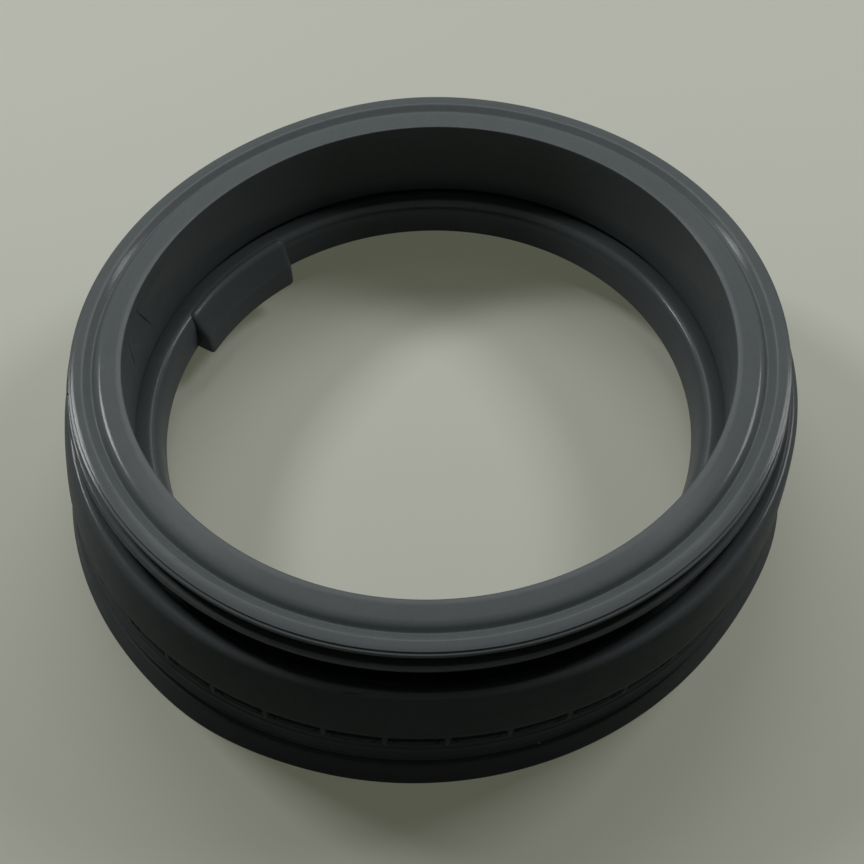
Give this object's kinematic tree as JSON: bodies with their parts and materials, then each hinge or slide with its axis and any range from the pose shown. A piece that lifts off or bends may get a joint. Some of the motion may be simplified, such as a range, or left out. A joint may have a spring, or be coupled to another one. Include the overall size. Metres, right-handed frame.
{
  "type": "washing machine door seal",
  "caption": "Moulded rubber bellows ring that seals a front-loading washing machine's door opening to its tub.",
  "frame": {"origin": "centre of the tub flange's flat underside, on the plane it stands on", "axes": "+Z from the tub flange up to the door flange; +X towards the side that the door flange's centre is offset to; +Y completes a right-handed set"},
  "size_m": [0.3777, 0.3778, 0.097],
  "materials": {
    "grey_rubber": "moulded EPDM rubber, satin, blue-grey"
  },
  "bodies": {
    "root": {"door_seal": "grey_rubber"}
  },
  "joints": []
}
